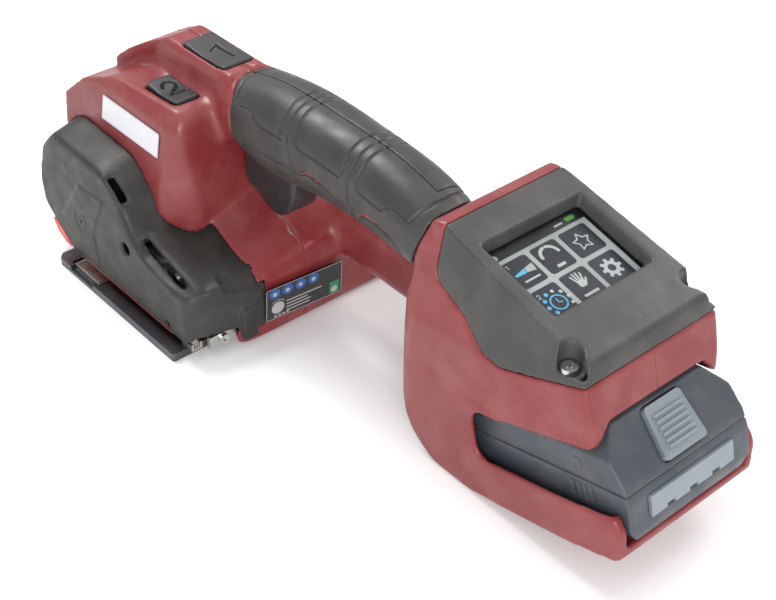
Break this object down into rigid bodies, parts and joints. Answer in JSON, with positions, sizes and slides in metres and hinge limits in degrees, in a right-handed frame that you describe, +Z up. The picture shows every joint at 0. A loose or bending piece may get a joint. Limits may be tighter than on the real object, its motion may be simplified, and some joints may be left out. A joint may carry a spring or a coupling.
{
  "type": "battery strapping tool",
  "caption": "Cordless hand tool that tensions, friction-welds and cuts plastic strap, with a grip handle, trigger, display head and slide-on battery pack.",
  "frame": {"origin": "under the middle of the tool, on the plane that the base plate and the heel of the battery block rest on", "axes": "+X towards the battery end, +Y away from the strap side, +Z up"},
  "size_m": [0.3688, 0.139, 0.1322],
  "materials": {
    "housing_red": "dusty dark red moulded housing",
    "grip_rubber": "soft overmoulded rubber",
    "cover_dark": "textured glass-filled plastic",
    "bezel_dark": "fine-grained grey plastic",
    "trim_black": "satin moulded plastic",
    "trim_red": "satin moulded plastic",
    "screen_glass": "anti-glare touch glass",
    "screen_panel": "colour display panel",
    "tool_steel": "ground hardened steel",
    "blued_steel": "blued steel plate",
    "zinc_steel": "bright zinc-plated steel",
    "gear_steel": "oiled gear steel",
    "cast_alloy": "machined aluminium",
    "copper": "enamelled copper wire",
    "lamination": "stacked electrical steel",
    "belt_rubber": "reinforced belt",
    "silicone": "silicone switch pad",
    "board": "solder-masked circuit board",
    "battery_blue": "dusty blue-grey pack case",
    "battery_light": "lighter blue-grey plastic",
    "cell_wrap": "shrink-wrapped cell",
    "contact_metal": "spring bronze",
    "label_white": "laminated label, blank",
    "label_black": "laminated label with plain marks"
  },
  "bodies": {
    "root": {"housing_near": "housing_red", "housing_far": "housing_red", "housing_screws": "zinc_steel", "grip_near": "grip_rubber", "grip_far": "grip_rubber", "side_cover": "cover_dark", "front_guard": "trim_red", "strap_guide_strip": "trim_red", "rear_strap_guide": "tool_steel", "socket_screws": "zinc_steel", "base_plate": "blued_steel", "base_screws": "zinc_steel", "carrier_blocks": "cast_alloy", "inner_carrier_plate": "cast_alloy", "outer_carrier_plate": "cast_alloy", "shaft_bearings": "tool_steel", "idler_axles": "tool_steel", "rocker_pin": "tool_steel", "motor_can": "lamination", "motor_stator": "lamination", "motor_windings": "copper", "motor_end_bell": "cast_alloy", "drive_belt": "belt_rubber", "cutter_guide": "tool_steel", "trigger_pin": "tool_steel", "trigger_spring": "tool_steel", "button_pads": "silicone", "button_boards": "board", "display_bezel": "bezel_dark", "bezel_screws": "zinc_steel", "display_glass": "screen_glass", "display_panel": "screen_panel", "controller_board": "board", "battery_terminal_block": "trim_black", "terminal_blades": "contact_metal", "name_label": "label_white", "type_label": "label_black"},
    "rotor": {"motor_shaft": "gear_steel", "motor_rotor": "lamination", "motor_pulley": "cast_alloy"},
    "first_idler": {"first_idler_gear": "gear_steel"},
    "second_idler": {"second_idler_gear": "gear_steel"},
    "tension_drive": {"tension_gear": "gear_steel", "tension_shaft": "tool_steel", "tension_wheel": "tool_steel"},
    "eccentric": {"eccentric_shaft": "tool_steel", "eccentric_pulley": "cast_alloy"},
    "welding_shoe": {"weld_shoe": "tool_steel"},
    "cutter": {"cutter_blade": "tool_steel"},
    "rocker_arm": {"rocker": "tool_steel", "tooth_plate": "tool_steel"},
    "trigger_lever": {"trigger": "trim_black"},
    "button_one_cap": {"button_one": "trim_black"},
    "button_two_cap": {"button_two": "trim_black"},
    "battery_pack": {"battery_lower_case": "battery_blue", "battery_upper_case": "battery_blue", "battery_cells": "cell_wrap", "battery_board": "board", "battery_end_strip": "battery_light"},
    "battery_release": {"battery_release_button": "battery_light"}
  },
  "joints": [
    {"name": "motor_spin", "type": "hinge", "parent": "root", "child": "rotor", "pos_m": [-0.075, 0, 0.032], "axis": [0, 1, 0], "continuous": true},
    {"name": "first_idler_spin", "type": "hinge", "parent": "root", "child": "first_idler", "pos_m": [-0.0993, 0, 0.0413], "axis": [0, 1, 0], "continuous": true},
    {"name": "second_idler_spin", "type": "hinge", "parent": "root", "child": "second_idler", "pos_m": [-0.1242, 0, 0.0386], "axis": [0, 1, 0], "continuous": true},
    {"name": "tension_wheel_spin", "type": "hinge", "parent": "root", "child": "tension_drive", "pos_m": [-0.139, 0, 0.021], "axis": [0, 1, 0], "continuous": true},
    {"name": "eccentric_spin", "type": "hinge", "parent": "root", "child": "eccentric", "pos_m": [-0.098, 0, 0.0265], "axis": [0, 1, 0], "continuous": true},
    {"name": "weld_shoe_press", "type": "slide", "parent": "root", "child": "welding_shoe", "axis": [0, 0, -1], "range_m": [0, 0.0044], "stiffness_N_per_m": 400},
    {"name": "cutter_stroke", "type": "slide", "parent": "root", "child": "cutter", "axis": [0, 0, -1], "range_m": [0, 0.005], "stiffness_N_per_m": 400},
    {"name": "trigger_pull", "type": "hinge", "parent": "root", "child": "trigger_lever", "pos_m": [-0.07, 0.001, 0.104], "axis": [0, -1, 0], "range_deg": [0, 12], "stiffness_Nm_per_rad": 0.6, "springref_deg": -11.46, "deforming": ["trigger_spring"]},
    {"name": "rocker_lift", "type": "hinge", "parent": "root", "child": "rocker_arm", "pos_m": [-0.112, 0, 0.0086], "axis": [0, -1, 0], "range_deg": [0, 3]},
    {"name": "button_one_press", "type": "slide", "parent": "root", "child": "button_one_cap", "axis": [0, 0, -1], "range_m": [0, 0.0015], "stiffness_N_per_m": 700},
    {"name": "button_two_press", "type": "slide", "parent": "root", "child": "button_two_cap", "axis": [0, 0, -1], "range_m": [0, 0.0015], "stiffness_N_per_m": 700},
    {"name": "battery_slide", "type": "slide", "parent": "root", "child": "battery_pack", "axis": [0.9659, 0, 0.2588], "range_m": [0, 0.13]},
    {"name": "battery_release_press", "type": "slide", "parent": "battery_pack", "child": "battery_release", "axis": [-0.6688, 0, -0.7434], "range_m": [0, 0.002], "stiffness_N_per_m": 900}
  ],
  "couplings": [
    {"joint": "first_idler_spin", "follows": "motor_spin", "ratio": -0.3},
    {"joint": "second_idler_spin", "follows": "motor_spin", "ratio": 0.11667},
    {"joint": "tension_wheel_spin", "follows": "motor_spin", "ratio": -0.062222},
    {"joint": "eccentric_spin", "follows": "motor_spin", "ratio": 0.75},
    {"joint": "rocker_lift", "follows": "trigger_pull", "ratio": 0.25}
  ]
}
